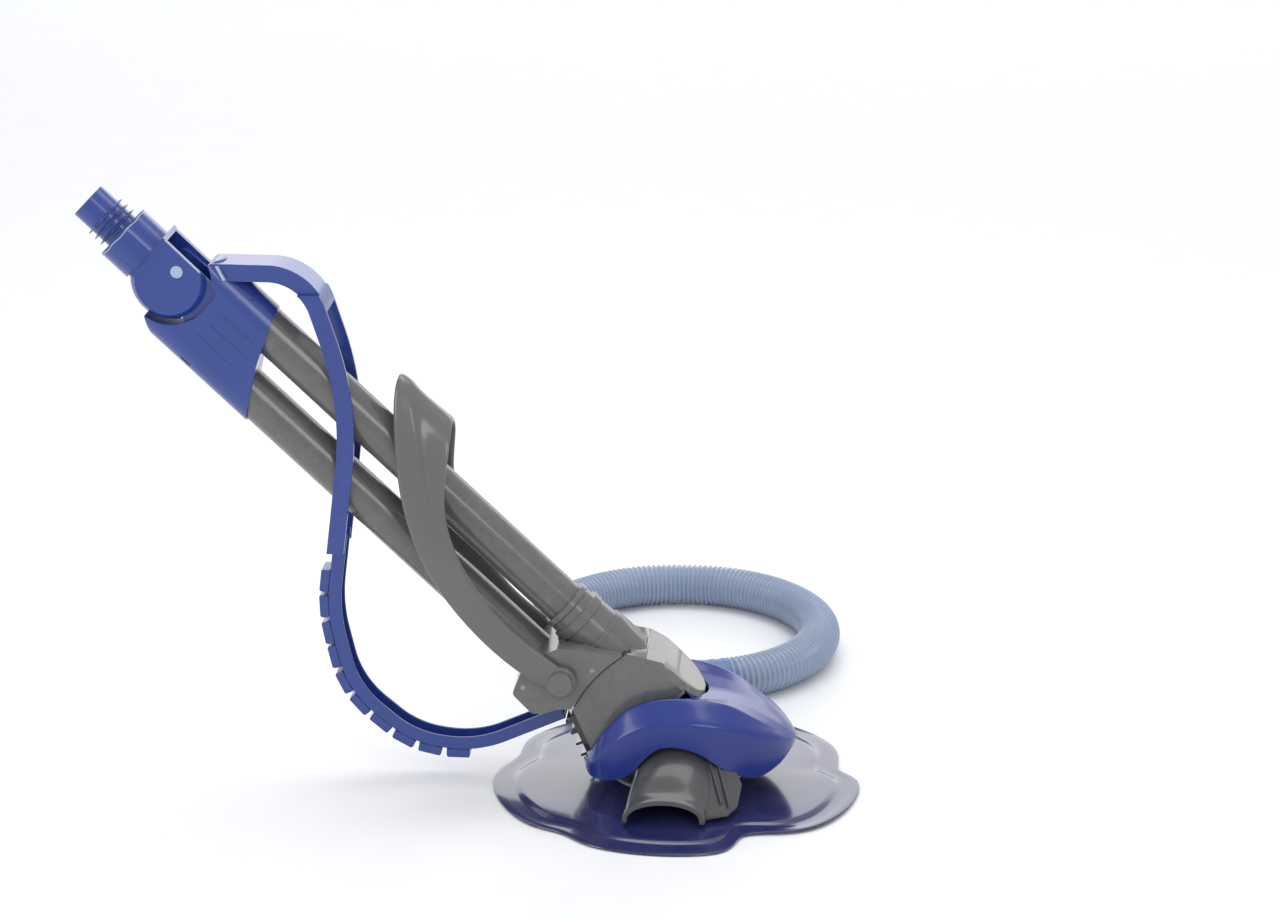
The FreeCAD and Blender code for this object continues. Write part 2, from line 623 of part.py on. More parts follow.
def seal():
    profile = [(4.6, SEAL_BORE), (4.6, 72), (3.4, 100), (1.2, 134), (0, 146), (0, SEAL_R + 5),
               (2.4, SEAL_R + 5), (3.0, 150), (4.6, 134), (7.5, 100), (9.5, 74), (13.8, 68), (13.8, SEAL_BORE)]
    disc = spun(profile, V(0, 0, 0), Z_AXIS, V(1, 0, 0))
    save("seal_disc", disc.common(rim_outline(-2).extrude(V(0, 0, 30))))
    bush = upright(SEAL_BORE, 4.6, 13.8).cut(upright(NECK_R + RUN, 0, 20))
    save("seal_bush", bush)


def foot_frame():
    neck = upright(NECK_R, 0, DECK_LOW + 1)
    deck = upright(66, DECK_LOW, DECK_TOP)
    save("foot_frame", fused([neck, deck]).cut(upright(THROAT_R, -1, 60)))
    save("foot_pad", upright(67, 0, PAD_TOP).cut(upright(NECK_R, -1, 60)))
    ring = upright(69, 14.4, 17.4).cut(upright(NECK_R, 0, 60))
    save("seal_retaining_ring", ring)
    weight = box((42, -34, DECK_TOP), (84, 34, 56)).cut(both_sides(upright(2.2, 0, 80, 62, 18)))
    save("ballast_weight", weight)
    shank = upright(2.2, DECK_TOP, 56, 62, 18)
    save("ballast_screws", both_sides(shank.fuse(upright(4.5, 56, 58.6, 62, 18))))
    heads = [cross_rod(3.4, spot, REAR_HALF, REAR_HALF + 1.0) for spot in ((-188, -22), (-152, 40))]
    save("body_screws", Part.makeCompound([s for h in heads for s in both_sides(h).Solids]))


# ---- hose section ----
def ring_piece(outer, inner, start_angle, sweep):
    """Part of the hose's ring, on the floor behind the cleaner."""
    turn = math.radians(start_angle)
    away = V(math.cos(turn), math.sin(turn), 0)
    tangent = V(-away.y, away.x, 0)
    middle = V(HOSE_RING_X, HOSE_RING_Y, HOSE_R)
    centre = middle + away * HOSE_RING_R
    section = [Part.Face(Part.Wire(Part.makeCircle(r, centre, tangent))) for r in (outer, inner)]
    body, bore = [face.revolve(middle, Z_AXIS, sweep) for face in section]
    return body.cut(bore)


def hose():
    first = -90 + 1.0
    save("hose_cuff_a", ring_piece(HOSE_R, 19.4, first, CUFF_ARC))
    save("hose_tube", ring_piece(HOSE_R - 0.5, HOSE_BORE, first + CUFF_ARC, 358 - 2 * CUFF_ARC))
    save("hose_cuff_b", ring_piece(HOSE_R, 19.4, -90 - 1.0 - CUFF_ARC, CUFF_ARC))


def main():
    tubes()
    nipple()
    swivel_race()
    knuckle()
    manifold()
    strap()
    front_housing()
    rear_housing()
    gasket()
    sleeve()
    flapper()
    save("rubber_comb", comb_pieces(0))
    handle()
    hood()
    wings()
    seal()
    foot_frame()
    hose()


main()
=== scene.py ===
"""Finished model of a suction pool cleaner.

It holds the moulded shells, the ribbed hose, the rubber seal and their finishes.

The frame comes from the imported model. Lengths are metres, or millimetres where a name ends in _MM
or a table says so. The tube frame is used for what lies along the two flow tubes: s runs down them,
h stands square to them, y goes across the machine.
"""

import json
import math

import bmesh
import bpy
from mathutils import Matrix, Vector


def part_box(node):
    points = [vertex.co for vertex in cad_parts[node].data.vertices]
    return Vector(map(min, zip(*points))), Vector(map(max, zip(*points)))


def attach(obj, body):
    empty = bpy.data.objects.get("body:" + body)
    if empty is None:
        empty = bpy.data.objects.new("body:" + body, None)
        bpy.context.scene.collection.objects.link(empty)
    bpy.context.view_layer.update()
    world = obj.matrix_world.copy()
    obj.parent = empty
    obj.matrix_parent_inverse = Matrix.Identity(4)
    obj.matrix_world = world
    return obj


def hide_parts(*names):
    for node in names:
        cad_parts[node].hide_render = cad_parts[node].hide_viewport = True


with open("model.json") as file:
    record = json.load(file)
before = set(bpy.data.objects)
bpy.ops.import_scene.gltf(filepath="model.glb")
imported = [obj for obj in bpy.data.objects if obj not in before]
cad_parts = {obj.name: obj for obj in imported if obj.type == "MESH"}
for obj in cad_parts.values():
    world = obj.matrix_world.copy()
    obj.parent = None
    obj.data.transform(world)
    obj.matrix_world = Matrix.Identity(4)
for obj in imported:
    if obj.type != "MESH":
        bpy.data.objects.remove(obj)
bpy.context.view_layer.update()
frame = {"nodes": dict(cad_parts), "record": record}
nodes = frame["nodes"]
record = frame["record"]
body_of = {
    node: body for body, members in record["behaviour"]["bodies"].items() for node in members
}
slot_of = {entry["node"]: entry["material_slot"] for entry in record["subparts"]}

MM = 0.001
TUBE_LEAN = math.radians(43.9)
ALONG = Vector((math.cos(TUBE_LEAN), 0, -math.sin(TUBE_LEAN)))
SQUARE = Vector((math.sin(TUBE_LEAN), 0, math.cos(TUBE_LEAN)))
ACROSS = Vector((0, 1, 0))
UP = Vector((0, 0, 1))

NIPPLE_H = 29.5
COLLAR_START = -779.0
BODY_HALF = 42.0

FLAT_WITHIN = math.radians(0.4)        # faces this near to one plane become one face
POINTS_PER_RIB = 6.0
STREAK_SHADE = 0.45                    # of the base colour, where a drawn line is darkest
WORN_TONE = 0.75                       # grey that rubbed edges turn to
WORN_SHARE = 0.35                      # how far they turn to it
DUST_COLOUR = (0.62, 0.62, 0.6)


def tube_point(s, h, y=0.0):
    """A point from millimetres along, square to and across the tubes."""
    return (ALONG * s + SQUARE * h + ACROSS * y) * MM


def mm(x, y, z):
    return Vector((x, y, z)) * MM


# ---------------------------------------------------------------- meshes
def new_object(name, data):
    made = bpy.data.objects.new(name, data)
    bpy.context.scene.collection.objects.link(made)
    return made


def baked(made):
    """The object with its modifiers worked into a plain mesh."""
    depsgraph = bpy.context.evaluated_depsgraph_get()
    mesh = bpy.data.meshes.new_from_object(
        made.evaluated_get(depsgraph), preserve_all_data_layers=True, depsgraph=depsgraph
    )
    made.modifiers.clear()
    made.data = mesh
    return made


def smoothed(made, angle=35):
    made.data.shade_smooth()
    made.data.set_sharp_from_angle(angle=math.radians(angle))
    return made


def from_bmesh(name, shape):
    bmesh.ops.recalc_face_normals(shape, faces=shape.faces)
    mesh = bpy.data.meshes.new(name)
    shape.to_mesh(mesh)
    shape.free()
    return new_object(name, mesh)


def skin(name, rows, ring=True, ends=True):
    """A surface through rows of points. ring joins each row's ends, and ends closes the first and last."""
    shape = bmesh.new()
    grid = [[shape.verts.new(point) for point in row] for row in rows]
    across = len(rows[0])
    for one, other in zip(grid, grid[1:]):
        for i in range(across if ring else across - 1):
            j = (i + 1) % across
            shape.faces.new((one[i], one[j], other[j], other[i]))
    if ends:
        shape.faces.new(grid[0])
        shape.faces.new(grid[-1])
    return from_bmesh(name, shape)


def turned(name, profile, centre, axis, side, steps=64):
    """A solid of revolution from a closed profile of (distance along the axis, radius) in millimetres."""
    rows = []
    for i in range(steps):
        spoke = Matrix.Rotation(2 * math.pi * i / steps, 3, axis) @ side
        rows.append([centre + (axis * along + spoke * radius) * MM for along, radius in profile])
    return skin(name, rows + [rows[0]], ends=False)


def merged(made, distance=0.00001):
    shape = bmesh.new()
    shape.from_mesh(made.data)
    bmesh.ops.remove_doubles(shape, verts=shape.verts, dist=distance)
    bmesh.ops.recalc_face_normals(shape, faces=shape.faces)
    shape.to_mesh(made.data)
    shape.free()
    return made


def rounded(made, width_mm, segments=2, angle=35, limit=30):
    """Edges sharper than limit get a small radius, and the flats keep flat shading."""
    bevel = made.modifiers.new("edge radius", "BEVEL")
    bevel.width = width_mm * MM
    bevel.segments = segments
    bevel.limit_method = "ANGLE"
    bevel.angle_limit = math.radians(limit)
    bevel.use_clamp_overlap = True
    bevel.miter_outer = "MITER_ARC"
    baked(made)
    smoothed(made, angle)
    weighted = made.modifiers.new("flat shading", "WEIGHTED_NORMAL")
    weighted.keep_sharp = True
    return baked(made)


def subdivided(made, levels=2):
    surface = made.modifiers.new("smooth surface", "SUBSURF")
    surface.levels = levels
    surface.render_levels = levels
    return baked(made)


def cut_by(made, *tools, operation="DIFFERENCE"):
    """The piece less each tool, and the tools are thrown away."""
    for tool in tools:
        cutter = made.modifiers.new("cut", "BOOLEAN")
        cutter.operation = operation
        cutter.object = tool
        cutter.solver = "EXACT"
        baked(made)
        bpy.data.objects.remove(tool)
    return made


def plate(name, outline, low_y, high_y, place=tube_point):
    """A flat plate with this side outline, in millimetres."""
    rows = [[place(a, b, y) for a, b in outline] for y in (low_y, high_y)]
    return skin(name, rows)


def joined(name, pieces):
    """One object that holds every piece's mesh."""
    shape = bmesh.new()
    for piece in pieces:
        shape.from_mesh(piece.data)
        bpy.data.objects.remove(piece)
    mesh = bpy.data.meshes.new(name)
    shape.to_mesh(mesh)
    shape.free()
    return new_object(name, mesh)


def fitted(made, finish, body, *stands_for):
    """The piece gets its finish, rides on its body and stands for these CAD nodes."""
    made.data.materials.clear()
    made.data.materials.append(finishes[finish])
    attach(made, body)
    if stands_for:
        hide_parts(*stands_for)
    return made


def cad_copy(node, name):
    """The node's mesh, merged and with its flat faces whole."""
    mesh = nodes[node].data.copy()
    mesh.name = name
    made = merged(new_object(name, mesh))
    shape = bmesh.new()
    shape.from_mesh(made.data)
    bmesh.ops.dissolve_limit(
        shape, angle_limit=FLAT_WITHIN, verts=shape.verts, edges=shape.edges,
        use_dissolve_boundaries=False
    )
    shape.to_mesh(made.data)
    shape.free()
    return made


def moulded(node, edge_mm, segments=2):
    """The node as a moulding, with a radius on its edges."""
    made = rounded(cad_copy(node, f"{node}_moulding"), edge_mm, segments)
    return fitted(made, slot_of[node], body_of[node], node)


def through(points, x):
    """The value at x on a smooth curve through points (x, value, ...), one value for each column."""
    last = len(points) - 1
    i = max(0, min(last - 1, sum(1 for p in points if p[0] <= x) - 1))
    one, other = points[i], points[i + 1]
    before, after = points[max(i - 1, 0)], points[min(i + 2, last)]
    span = other[0] - one[0]
    t = min(1.0, max(0.0, (x - one[0]) / span))
    values = []
    for c in range(1, len(one)):
        rise_one = (other[c] - before[c]) / (other[0] - before[0]) * span
        rise_other = (after[c] - one[c]) / (after[0] - one[0]) * span
        values.append(
            (2 * t**3 - 3 * t**2 + 1) * one[c] + (t**3 - 2 * t**2 + t) * rise_one
            + (3 * t**2 - 2 * t**3) * other[c] + (t**3 - t**2) * rise_other
        )
    return values


def filleted(corners, radii, flat_steps=4, arc_steps=5):
    """An open line through 2-D corners, each inner one turned by an arc, always with as many points."""
    line = []
    reach_before = 0.0
    for i in range(len(corners) - 1):
        one, other = Vector(corners[i]), Vector(corners[i + 1])
        way = (other - one).normalized()
        length = (other - one).length
        reach = 0.0
        if i + 2 < len(corners):
            onward = (Vector(corners[i + 2]) - other).normalized()
            turn = way.angle(onward, 0.0)
            room = min(length - reach_before, (Vector(corners[i + 2]) - other).length * 0.5) * 0.9
            reach = min(radii[i] * math.tan(turn / 2), room)
        start, end = one + way * reach_before, other - way * reach
        line += [start.lerp(end, k / flat_steps) for k in range(flat_steps)]
        if i + 2 < len(corners):
            far = other + onward * reach
            for k in range(arc_steps):
                t = k / arc_steps
                line.append(end * (1 - t) ** 2 + other * 2 * t * (1 - t) + far * t**2)
        else:
            line.append(end)
        reach_before = reach
    return line


# ---------------------------------------------------------------- node trees
def step(tree, kind, values=None, **settings):
    """A node with its settings made and its inputs set or linked."""
    node = tree.nodes.new(kind)
    for key, value in settings.items():
        setattr(node, key, value)
    for key, value in (values or {}).items():
        if isinstance(value, bpy.types.NodeSocket):
            tree.links.new(value, node.inputs[key])
        else:
            node.inputs[key].default_value = value
    return node


def new_tree(name, kind, inputs, outputs):
    """A node group with named sockets, and its input and output nodes."""
    tree = bpy.data.node_groups.new(name, kind)
    for way, sockets in (("INPUT", inputs), ("OUTPUT", outputs)):
        for label, socket, *start in sockets:
            made = tree.interface.new_socket(label, in_out=way, socket_type="NodeSocket" + socket)
            if start:
                made.default_value = start[0]
    return tree, tree.nodes.new("NodeGroupInput").outputs, tree.nodes.new("NodeGroupOutput").inputs


def grown(made, tree, values):
    """The plain mesh that the tree makes of the object."""
    modifier = made.modifiers.new(tree.name, "NODES")
    modifier.node_group = tree
    for item in tree.interface.items_tree:
        if item.in_out == "INPUT" and item.name in values:
            modifier[item.identifier] = values[item.name]
    return baked(made)


def ribbed_hose_tree():
    """A tube with round ribs, along the line that it is put on."""
    tree, given, out = new_tree(
        "ribbed hose", "GeometryNodeTree",
        [("Line", "Geometry"), ("Crest Radius", "Float", 0.023), ("Rib Height", "Float", 0.001),
         ("Rib Pitch", "Float", 0.0055), ("Steps Round", "Int", 40), ("Finish", "Material")],
        [("Hose", "Geometry")],
    )
    spacing = step(tree, "ShaderNodeMath", {0: given["Rib Pitch"], 1: POINTS_PER_RIB}, operation="DIVIDE")
    line = step(tree, "GeometryNodeMeshToCurve", {"Mesh": given["Line"]})
    line = step(tree, "GeometryNodeResampleCurve",
                {"Curve": line.outputs[0], "Length": spacing.outputs[0]},
                mode="LENGTH")
    place = step(tree, "GeometryNodeSplineParameter")
    turns = step(
        tree, "ShaderNodeMath", {0: place.outputs["Length"], 1: given["Rib Pitch"]},
        operation="DIVIDE"
    )
    angle = step(
        tree, "ShaderNodeMath", {0: turns.outputs[0], 1: 2 * math.pi}, operation="MULTIPLY"
    )
    wave = step(tree, "ShaderNodeMath", {0: angle.outputs[0]}, operation="COSINE")
    dip = step(
        tree, "ShaderNodeMath", {0: wave.outputs[0], 1: -0.5, 2: 0.5}, operation="MULTIPLY_ADD"
    )
    depth = step(
        tree, "ShaderNodeMath", {0: dip.outputs[0], 1: given["Rib Height"]}, operation="MULTIPLY"
    )
    radius = step(
        tree, "ShaderNodeMath", {0: given["Crest Radius"], 1: depth.outputs[0]},
        operation="SUBTRACT"
    )
    section = step(
        tree, "GeometryNodeCurvePrimitiveCircle",
        {"Resolution": given["Steps Round"], "Radius": 1.0}
    )
    tube = step(tree, "GeometryNodeCurveToMesh",
                {"Curve": line.outputs[0], "Profile Curve": section.outputs[0],
                    "Scale": radius.outputs[0],
                 "Fill Caps": True})
    tube = step(tree, "GeometryNodeSetShadeSmooth", {"Geometry": tube.outputs[0]})
    tube = step(tree, "GeometryNodeRealizeInstances", {"Geometry": tube.outputs[0]})
    tube = step(
        tree, "GeometryNodeSetMaterial", {"Geometry": tube.outputs[0], "Material": given["Finish"]}
    )
    tree.links.new(tube.outputs[0], out["Hose"])
    return tree


def set_out_tree():
    """A copy of one piece at each point, facing and lying as the point's two directions say."""
    tree, given, out = new_tree(
        "set out in a row", "GeometryNodeTree",
        [("Places", "Geometry"), ("Piece", "Object"), ("Size", "Float", 1.0),
            ("Finish", "Material")],
        [("Row", "Geometry")],
    )
    facing = step(
        tree, "GeometryNodeInputNamedAttribute", {"Name": "facing"}, data_type="FLOAT_VECTOR"
    )
    lying = step(
        tree, "GeometryNodeInputNamedAttribute", {"Name": "lying"}, data_type="FLOAT_VECTOR"
    )
    turn = step(tree, "FunctionNodeAlignRotationToVector", {"Vector": facing.outputs[0]}, axis="Z")
    turn = step(tree, "FunctionNodeAlignRotationToVector",
                {"Rotation": turn.outputs[0], "Vector": lying.outputs[0]}, axis="X", pivot_axis="Z")
    piece = step(tree, "GeometryNodeObjectInfo", {"Object": given["Piece"], "As Instance": True})
    row = step(tree, "GeometryNodeInstanceOnPoints",
               {"Points": given["Places"], "Instance": piece.outputs["Geometry"],
                   "Rotation": turn.outputs[0],
                "Scale": given["Size"]})
    row = step(tree, "GeometryNodeRealizeInstances", {"Geometry": row.outputs[0]})
    row = step(
        tree, "GeometryNodeSetMaterial", {"Geometry": row.outputs[0], "Material": given["Finish"]}
    )
    tree.links.new(row.outputs[0], out["Row"])
    return tree


def set_out(name, piece, places, finish, body, *stands_for, size=1.0):
    """A row of one piece at places (point, facing, lying)."""
    mesh = bpy.data.meshes.new(name)
    mesh.from_pydata([place[0] for place in places], [], [])
    for label, column in (("facing", 1), ("lying", 2)):
        layer = mesh.attributes.new(label, "FLOAT_VECTOR", "POINT")
        for i, place in enumerate(places):
            layer.data[i].vector = place[column]
    row = grown(new_object(name, mesh), set_out_in_a_row,
                {"Piece": piece, "Size": size, "Finish": finishes[finish]})
    bpy.data.objects.remove(piece)
    smoothed(row, 40)
    return fitted(row, finish, body, *stands_for)


# ---------------------------------------------------------------- finishes
def moulding_grain_group():
    """Fine grain of moulded plastic, with slow changes of shade and gloss."""
    tree, given, out = new_tree(
        "moulding grain", "ShaderNodeTree",
        [("Place", "Vector"), ("Grain Scale", "Float", 900.0), ("Shade Scale", "Float", 14.0),
         ("Gloss", "Float", 0.2), ("Gloss Spread", "Float", 0.08)],
        [("Shade", "Float"), ("Roughness", "Float"), ("Height", "Float")],
    )
    slow = step(tree, "ShaderNodeTexNoise",
                {"Vector": given["Place"], "Scale": given["Shade Scale"], "Detail": 3.0,
                    "Roughness": 0.55})
    fine = step(tree, "ShaderNodeTexNoise",
                {"Vector": given["Place"], "Scale": given["Grain Scale"], "Detail": 2.0,
                    "Roughness": 0.6})
    rough = step(tree, "ShaderNodeMath",
                 {0: slow.outputs[0], 1: given["Gloss Spread"], 2: given["Gloss"]},
                 operation="MULTIPLY_ADD")
    shade = step(tree, "ShaderNodeMapRange", {0: slow.outputs[0], 1: 0.3, 2: 0.7})
    tree.links.new(shade.outputs[0], out["Shade"])
    tree.links.new(rough.outputs[0], out["Roughness"])
    tree.links.new(fine.outputs[0], out["Height"])
    return tree


def settled_dust_group():
    """Where dust settles: on what faces up, in soft patches."""
    tree, given, out = new_tree(
        "settled dust", "ShaderNodeTree",
        [("Place", "Vector"), ("Amount", "Float", 0.1), ("Patch Scale", "Float", 30.0)],
        [("Mask", "Float")],
    )
    normal = step(tree, "ShaderNodeNewGeometry")
    upward = step(tree, "ShaderNodeSeparateXYZ", {0: normal.outputs["Normal"]})
    facing = step(tree, "ShaderNodeMapRange", {0: upward.outputs[2], 1: 0.2, 2: 1.0})
    patch = step(tree, "ShaderNodeTexNoise",
                 {"Vector": given["Place"], "Scale": given["Patch Scale"], "Detail": 4.0,
                     "Roughness": 0.6})
    soft = step(tree, "ShaderNodeMapRange", {0: patch.outputs[0], 1: 0.4, 2: 0.75})
    both = step(
        tree, "ShaderNodeMath", {0: facing.outputs[0], 1: soft.outputs[0]}, operation="MULTIPLY"
    )
    mask = step(
        tree, "ShaderNodeMath", {0: both.outputs[0], 1: given["Amount"]}, operation="MULTIPLY"
    )
    tree.links.new(mask.outputs[0], out["Mask"])
    return tree


def rubbed_edge_group():
    """Edges and corners that handling has rubbed paler."""
    tree, given, out = new_tree(
        "rubbed edge", "ShaderNodeTree",
        [("Place", "Vector"), ("Amount", "Float", 0.3), ("Breakup Scale", "Float", 120.0)],
        [("Mask", "Float")],
    )
    shape = step(tree, "ShaderNodeNewGeometry")
    edge = step(tree, "ShaderNodeMapRange", {0: shape.outputs["Pointiness"], 1: 0.53, 2: 0.62})
    breakup = step(tree, "ShaderNodeTexNoise",
                   {"Vector": given["Place"], "Scale": given["Breakup Scale"], "Detail": 3.0})
    broken = step(tree, "ShaderNodeMapRange", {0: breakup.outputs[0], 1: 0.35, 2: 0.65})
    both = step(
        tree, "ShaderNodeMath", {0: edge.outputs[0], 1: broken.outputs[0]}, operation="MULTIPLY"
    )
    mask = step(
        tree, "ShaderNodeMath", {0: both.outputs[0], 1: given["Amount"]}, operation="MULTIPLY"
    )
    tree.links.new(mask.outputs[0], out["Mask"])
    return tree


def drawn_streaks_group():
    """Faint lines that the die leaves along an extruded tube."""
    tree, given, out = new_tree(
        "drawn streaks", "ShaderNodeTree",
        [("Place", "Vector"), ("Line Scale", "Float", 500.0)],
        [("Streak", "Float")],
    )
    turned_place = step(tree, "ShaderNodeMapping",
                        {"Vector": given["Place"], "Rotation": (0, -TUBE_LEAN, 0)},
                        vector_type="POINT")
    stretched = step(tree, "ShaderNodeVectorMath",
                     {0: turned_place.outputs[0], 1: (0.01, 1.0, 1.0)},
                     operation="MULTIPLY")
    lines = step(tree, "ShaderNodeTexNoise",
                 {"Vector": stretched.outputs[0], "Scale": given["Line Scale"], "Detail": 2.0})
    tree.links.new(lines.outputs[0], out["Streak"])
    return tree


def group(tree, inner, values):
    return step(tree, "ShaderNodeGroup", values, node_tree=inner).outputs


def mixed(tree, share, one, other):
    """Colour one turning to other as share goes from 0 to 1."""
    node = tree.nodes.new("ShaderNodeMix")
    node.data_type = "RGBA"
    tree.links.new(share, node.inputs[0])
    for socket, colour in ((node.inputs[6], one), (node.inputs[7], other)):
        if isinstance(colour, bpy.types.NodeSocket):
            tree.links.new(colour, socket)
        else:
            socket.default_value = (*colour, 1.0)
    return node.outputs[2]


def finish(name, colour, second, gloss, spread=0.03, grain=900.0, grain_depth=0.006, coat=0.0,
           coat_gloss=0.05,
           dust=0.02, rubbed=0.08, streaks=0.0, metal=0.0, sheen=0.0, through_glow=0.0,
           specular=0.5,
           shade_scale=14.0):
    """A procedural material from the shared groups."""
    material = bpy.data.materials.new(name)
    material.use_nodes = True
    tree = material.node_tree
    shader = tree.nodes["Principled BSDF"]
    place = step(tree, "ShaderNodeTexCoord").outputs["Object"]
    base = group(tree, moulding_grain,
                 {"Place": place, "Grain Scale": grain, "Shade Scale": shade_scale,
                                        "Gloss": gloss, "Gloss Spread": spread})
    tone = mixed(tree, base["Shade"], colour, second)
    height = base["Height"]
    if streaks:
        lines = group(tree, drawn_streaks, {"Place": place})
        fade = step(
            tree, "ShaderNodeMapRange", {0: lines["Streak"], 1: 0.3, 2: 0.7, 3: 0.0, 4: streaks}
        )
        tone = mixed(tree, fade.outputs[0], tone, tuple(c * STREAK_SHADE for c in colour))
        height = lines["Streak"]
    worn = group(tree, rubbed_edge, {"Place": place, "Amount": rubbed})
    pale = tuple(c + (WORN_TONE - c) * WORN_SHARE for c in colour)
    tone = mixed(tree, worn["Mask"], tone, pale)
    settled = group(tree, settled_dust, {"Place": place, "Amount": dust})
    tone = mixed(tree, settled["Mask"], tone, DUST_COLOUR)
    dull = step(tree, "ShaderNodeMath", {0: settled["Mask"], 1: 0.5, 2: base["Roughness"]},
                operation="MULTIPLY_ADD")
    bump = step(
        tree, "ShaderNodeBump", {"Height": height, "Strength": grain_depth, "Distance": 0.001}
    )
    tree.links.new(tone, shader.inputs["Base Color"])
    tree.links.new(dull.outputs[0], shader.inputs["Roughness"])
    tree.links.new(bump.outputs[0], shader.inputs["Normal"])
    shader.inputs["Coat Weight"].default_value = coat
    shader.inputs["Coat Roughness"].default_value = coat_gloss
    shader.inputs["Metallic"].default_value = metal
    shader.inputs["Sheen Weight"].default_value = sheen
    shader.inputs["Specular IOR Level"].default_value = specular
    shader.inputs["Subsurface Weight"].default_value = through_glow
    shader.inputs["Subsurface Scale"].default_value = 0.004
    return material


# ---------------------------------------------------------------- camera, floor and light
def camera():
    lens = bpy.data.cameras.new("camera")
    lens.sensor_width = 36
    lens.lens = 90
    lens.clip_end = 50
    made = new_object("camera", lens)
    made.location = (0.16742, -2.99455, 1.29788)
    made.rotation_euler = (math.radians(72.309), 0, math.radians(3.9085))
    bpy.context.scene.camera = made


def soft_box(name, place, aim, size, power):
    light = bpy.data.lights.new(name, "AREA")
    light.shape = "RECTANGLE"
    light.size, light.size_y = size
    light.energy = power
    made = new_object(name, light)
    made.location = place
    made.rotation_euler = (Vector(aim) - Vector(place)).to_track_quat("-Z", "Y").to_euler()
    made.visible_camera = False


def studio():
    floor = skin(
        "floor", [[(-6, -6, 0), (6, -6, 0)], [(-6, 8, 0), (6, 8, 0)]], ring=False, ends=False
    )
    if floor.data.polygons[0].normal.z < 0:
        floor.data.flip_normals()
    floor.data.materials.append(
        finish("pale floor", (0.86, 0.865, 0.875), (0.88, 0.885, 0.89), 0.45, coat=0.0, dust=0.0,
            rubbed=0.0,
               grain_depth=0.0, specular=0.3))
    world = bpy.data.worlds.new("studio")
    world.use_nodes = True
    sky = world.node_tree.nodes["Background"]
    sky.inputs[0].default_value = (0.97, 0.98, 1.0, 1.0)
    sky.inputs[1].default_value = 0.8
    bpy.context.scene.world = world
    soft_box("overhead box", (0.1, 0.6, 2.4), (-0.1, 0.05, 0.2), (2.2, 1.4), 22)
    soft_box("left box", (-2.2, -1.4, 1.5), (-0.2, 0, 0.25), (1.0, 1.4), 14)
    soft_box("front box", (1.3, -2.6, 1.9), (-0.1, 0, 0.2), (1.2, 0.9), 12)
    soft_box("back box", (0.2, 5.4, 1.9), (0, 0.6, 0.2), (6.0, 2.2), 55)


# ---------------------------------------------------------------- hose section
HOSE_R = 0.0235
CUFF_LENGTH = 0.0514          # at each end of the section
CUFF_BORE_R = 0.0195
SPLINE_EASE = 0.0035          # makes up for the spline running inside its points


def ring_route():
    """Points along the hose section's ring, read from one smooth spline."""
    low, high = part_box("hose_tube")
    centre = Vector(((low.x + high.x) / 2, (low.y + high.y) / 2, HOSE_R))
    reach = (high.x - low.x) / 2 - HOSE_R + SPLINE_EASE
    curve = bpy.data.curves.new("hose route", "CURVE")
    curve.dimensions = "3D"
    curve.resolution_u = 24
    spline = curve.splines.new("NURBS")
    count = 17
    spline.points.add(count - 1)
    for i in range(count):
        turn = math.radians(-89 + 358 * i / (count - 1))
        spline.points[i].co = (
            centre.x + reach * math.cos(turn), centre.y + reach * math.sin(turn), HOSE_R, 1
        )
    spline.order_u = 3
    spline.use_endpoint_u = True
    made = new_object("hose route", curve)
    mesh = bpy.data.meshes.new_from_object(
        made.evaluated_get(bpy.context.evaluated_depsgraph_get())
    )
    points = [v.co.copy() for v in mesh.vertices]
    bpy.data.objects.remove(made)
    return points


def pipe_along(name, points, radii, steps=48):
    """A tube along points, with a radius for each, closed at both ends."""
    rows = []
    for i, point in enumerate(points):
        way = (points[min(i + 1, len(points) - 1)] - points[max(i - 1, 0)]).normalized()
        side = way.cross(UP).normalized()
        rows.append([point + (side * math.cos(t) + UP * math.sin(t)) * radii[i]
                     for t in (2 * math.pi * k / steps for k in range(steps))])
    return skin(name, rows)


def hose_cuff(node, points):
    """Soft end cuff: stepped grip rings and a rounded mouth."""
    radii = []
    last = len(points) - 1
    for i in range(len(points)):
        share = i / last
        ring = 0.0009 * max(0.0, math.cos(share * 2 * math.pi * 5.0)) if 0.25 < share < 0.9 else 0.0
        radii.append(HOSE_R - 0.0012 + ring + (0.0009 if share < 0.12 else 0.0))
    body = pipe_along(f"{node}_grip", points, radii)
    mouth_centre = points[0]
    inward = (points[3] - points[0]).normalized()
    bore = pipe_along(
        "bore", [mouth_centre - inward * 0.004, mouth_centre + inward * 0.02], [CUFF_BORE_R, CUFF_BORE_R]
    )
    made = cut_by(body, bore)
    return fitted(smoothed(made, 40), slot_of[node], body_of[node], node)


def hose():
    points = ring_route()
    count = len(points)
    cut, run = 0, 0.0
    while run < CUFF_LENGTH:
        run += (points[cut + 1] - points[cut]).length
        cut += 1
    middle = points[cut:count - cut]
    line = bpy.data.meshes.new("hose")
    line.from_pydata(middle, [(i, i + 1) for i in range(len(middle) - 1)], [])
    tube = grown(new_object("ribbed_hose", line), ribbed_hose,
                 {"Crest Radius": HOSE_R - 0.0004, "Rib Height": 0.0027, "Rib Pitch": 0.0058,
                     "Steps Round": 44,
                  "Finish": finishes["hose_pale"]})
    fitted(tube, "hose_pale", body_of["hose_tube"], "hose_tube")
    overlap = 4
    cuff_a = hose_cuff("hose_cuff_a", points[:cut + overlap])
    cuff_b = hose_cuff("hose_cuff_b", points[::-1][:cut + overlap])


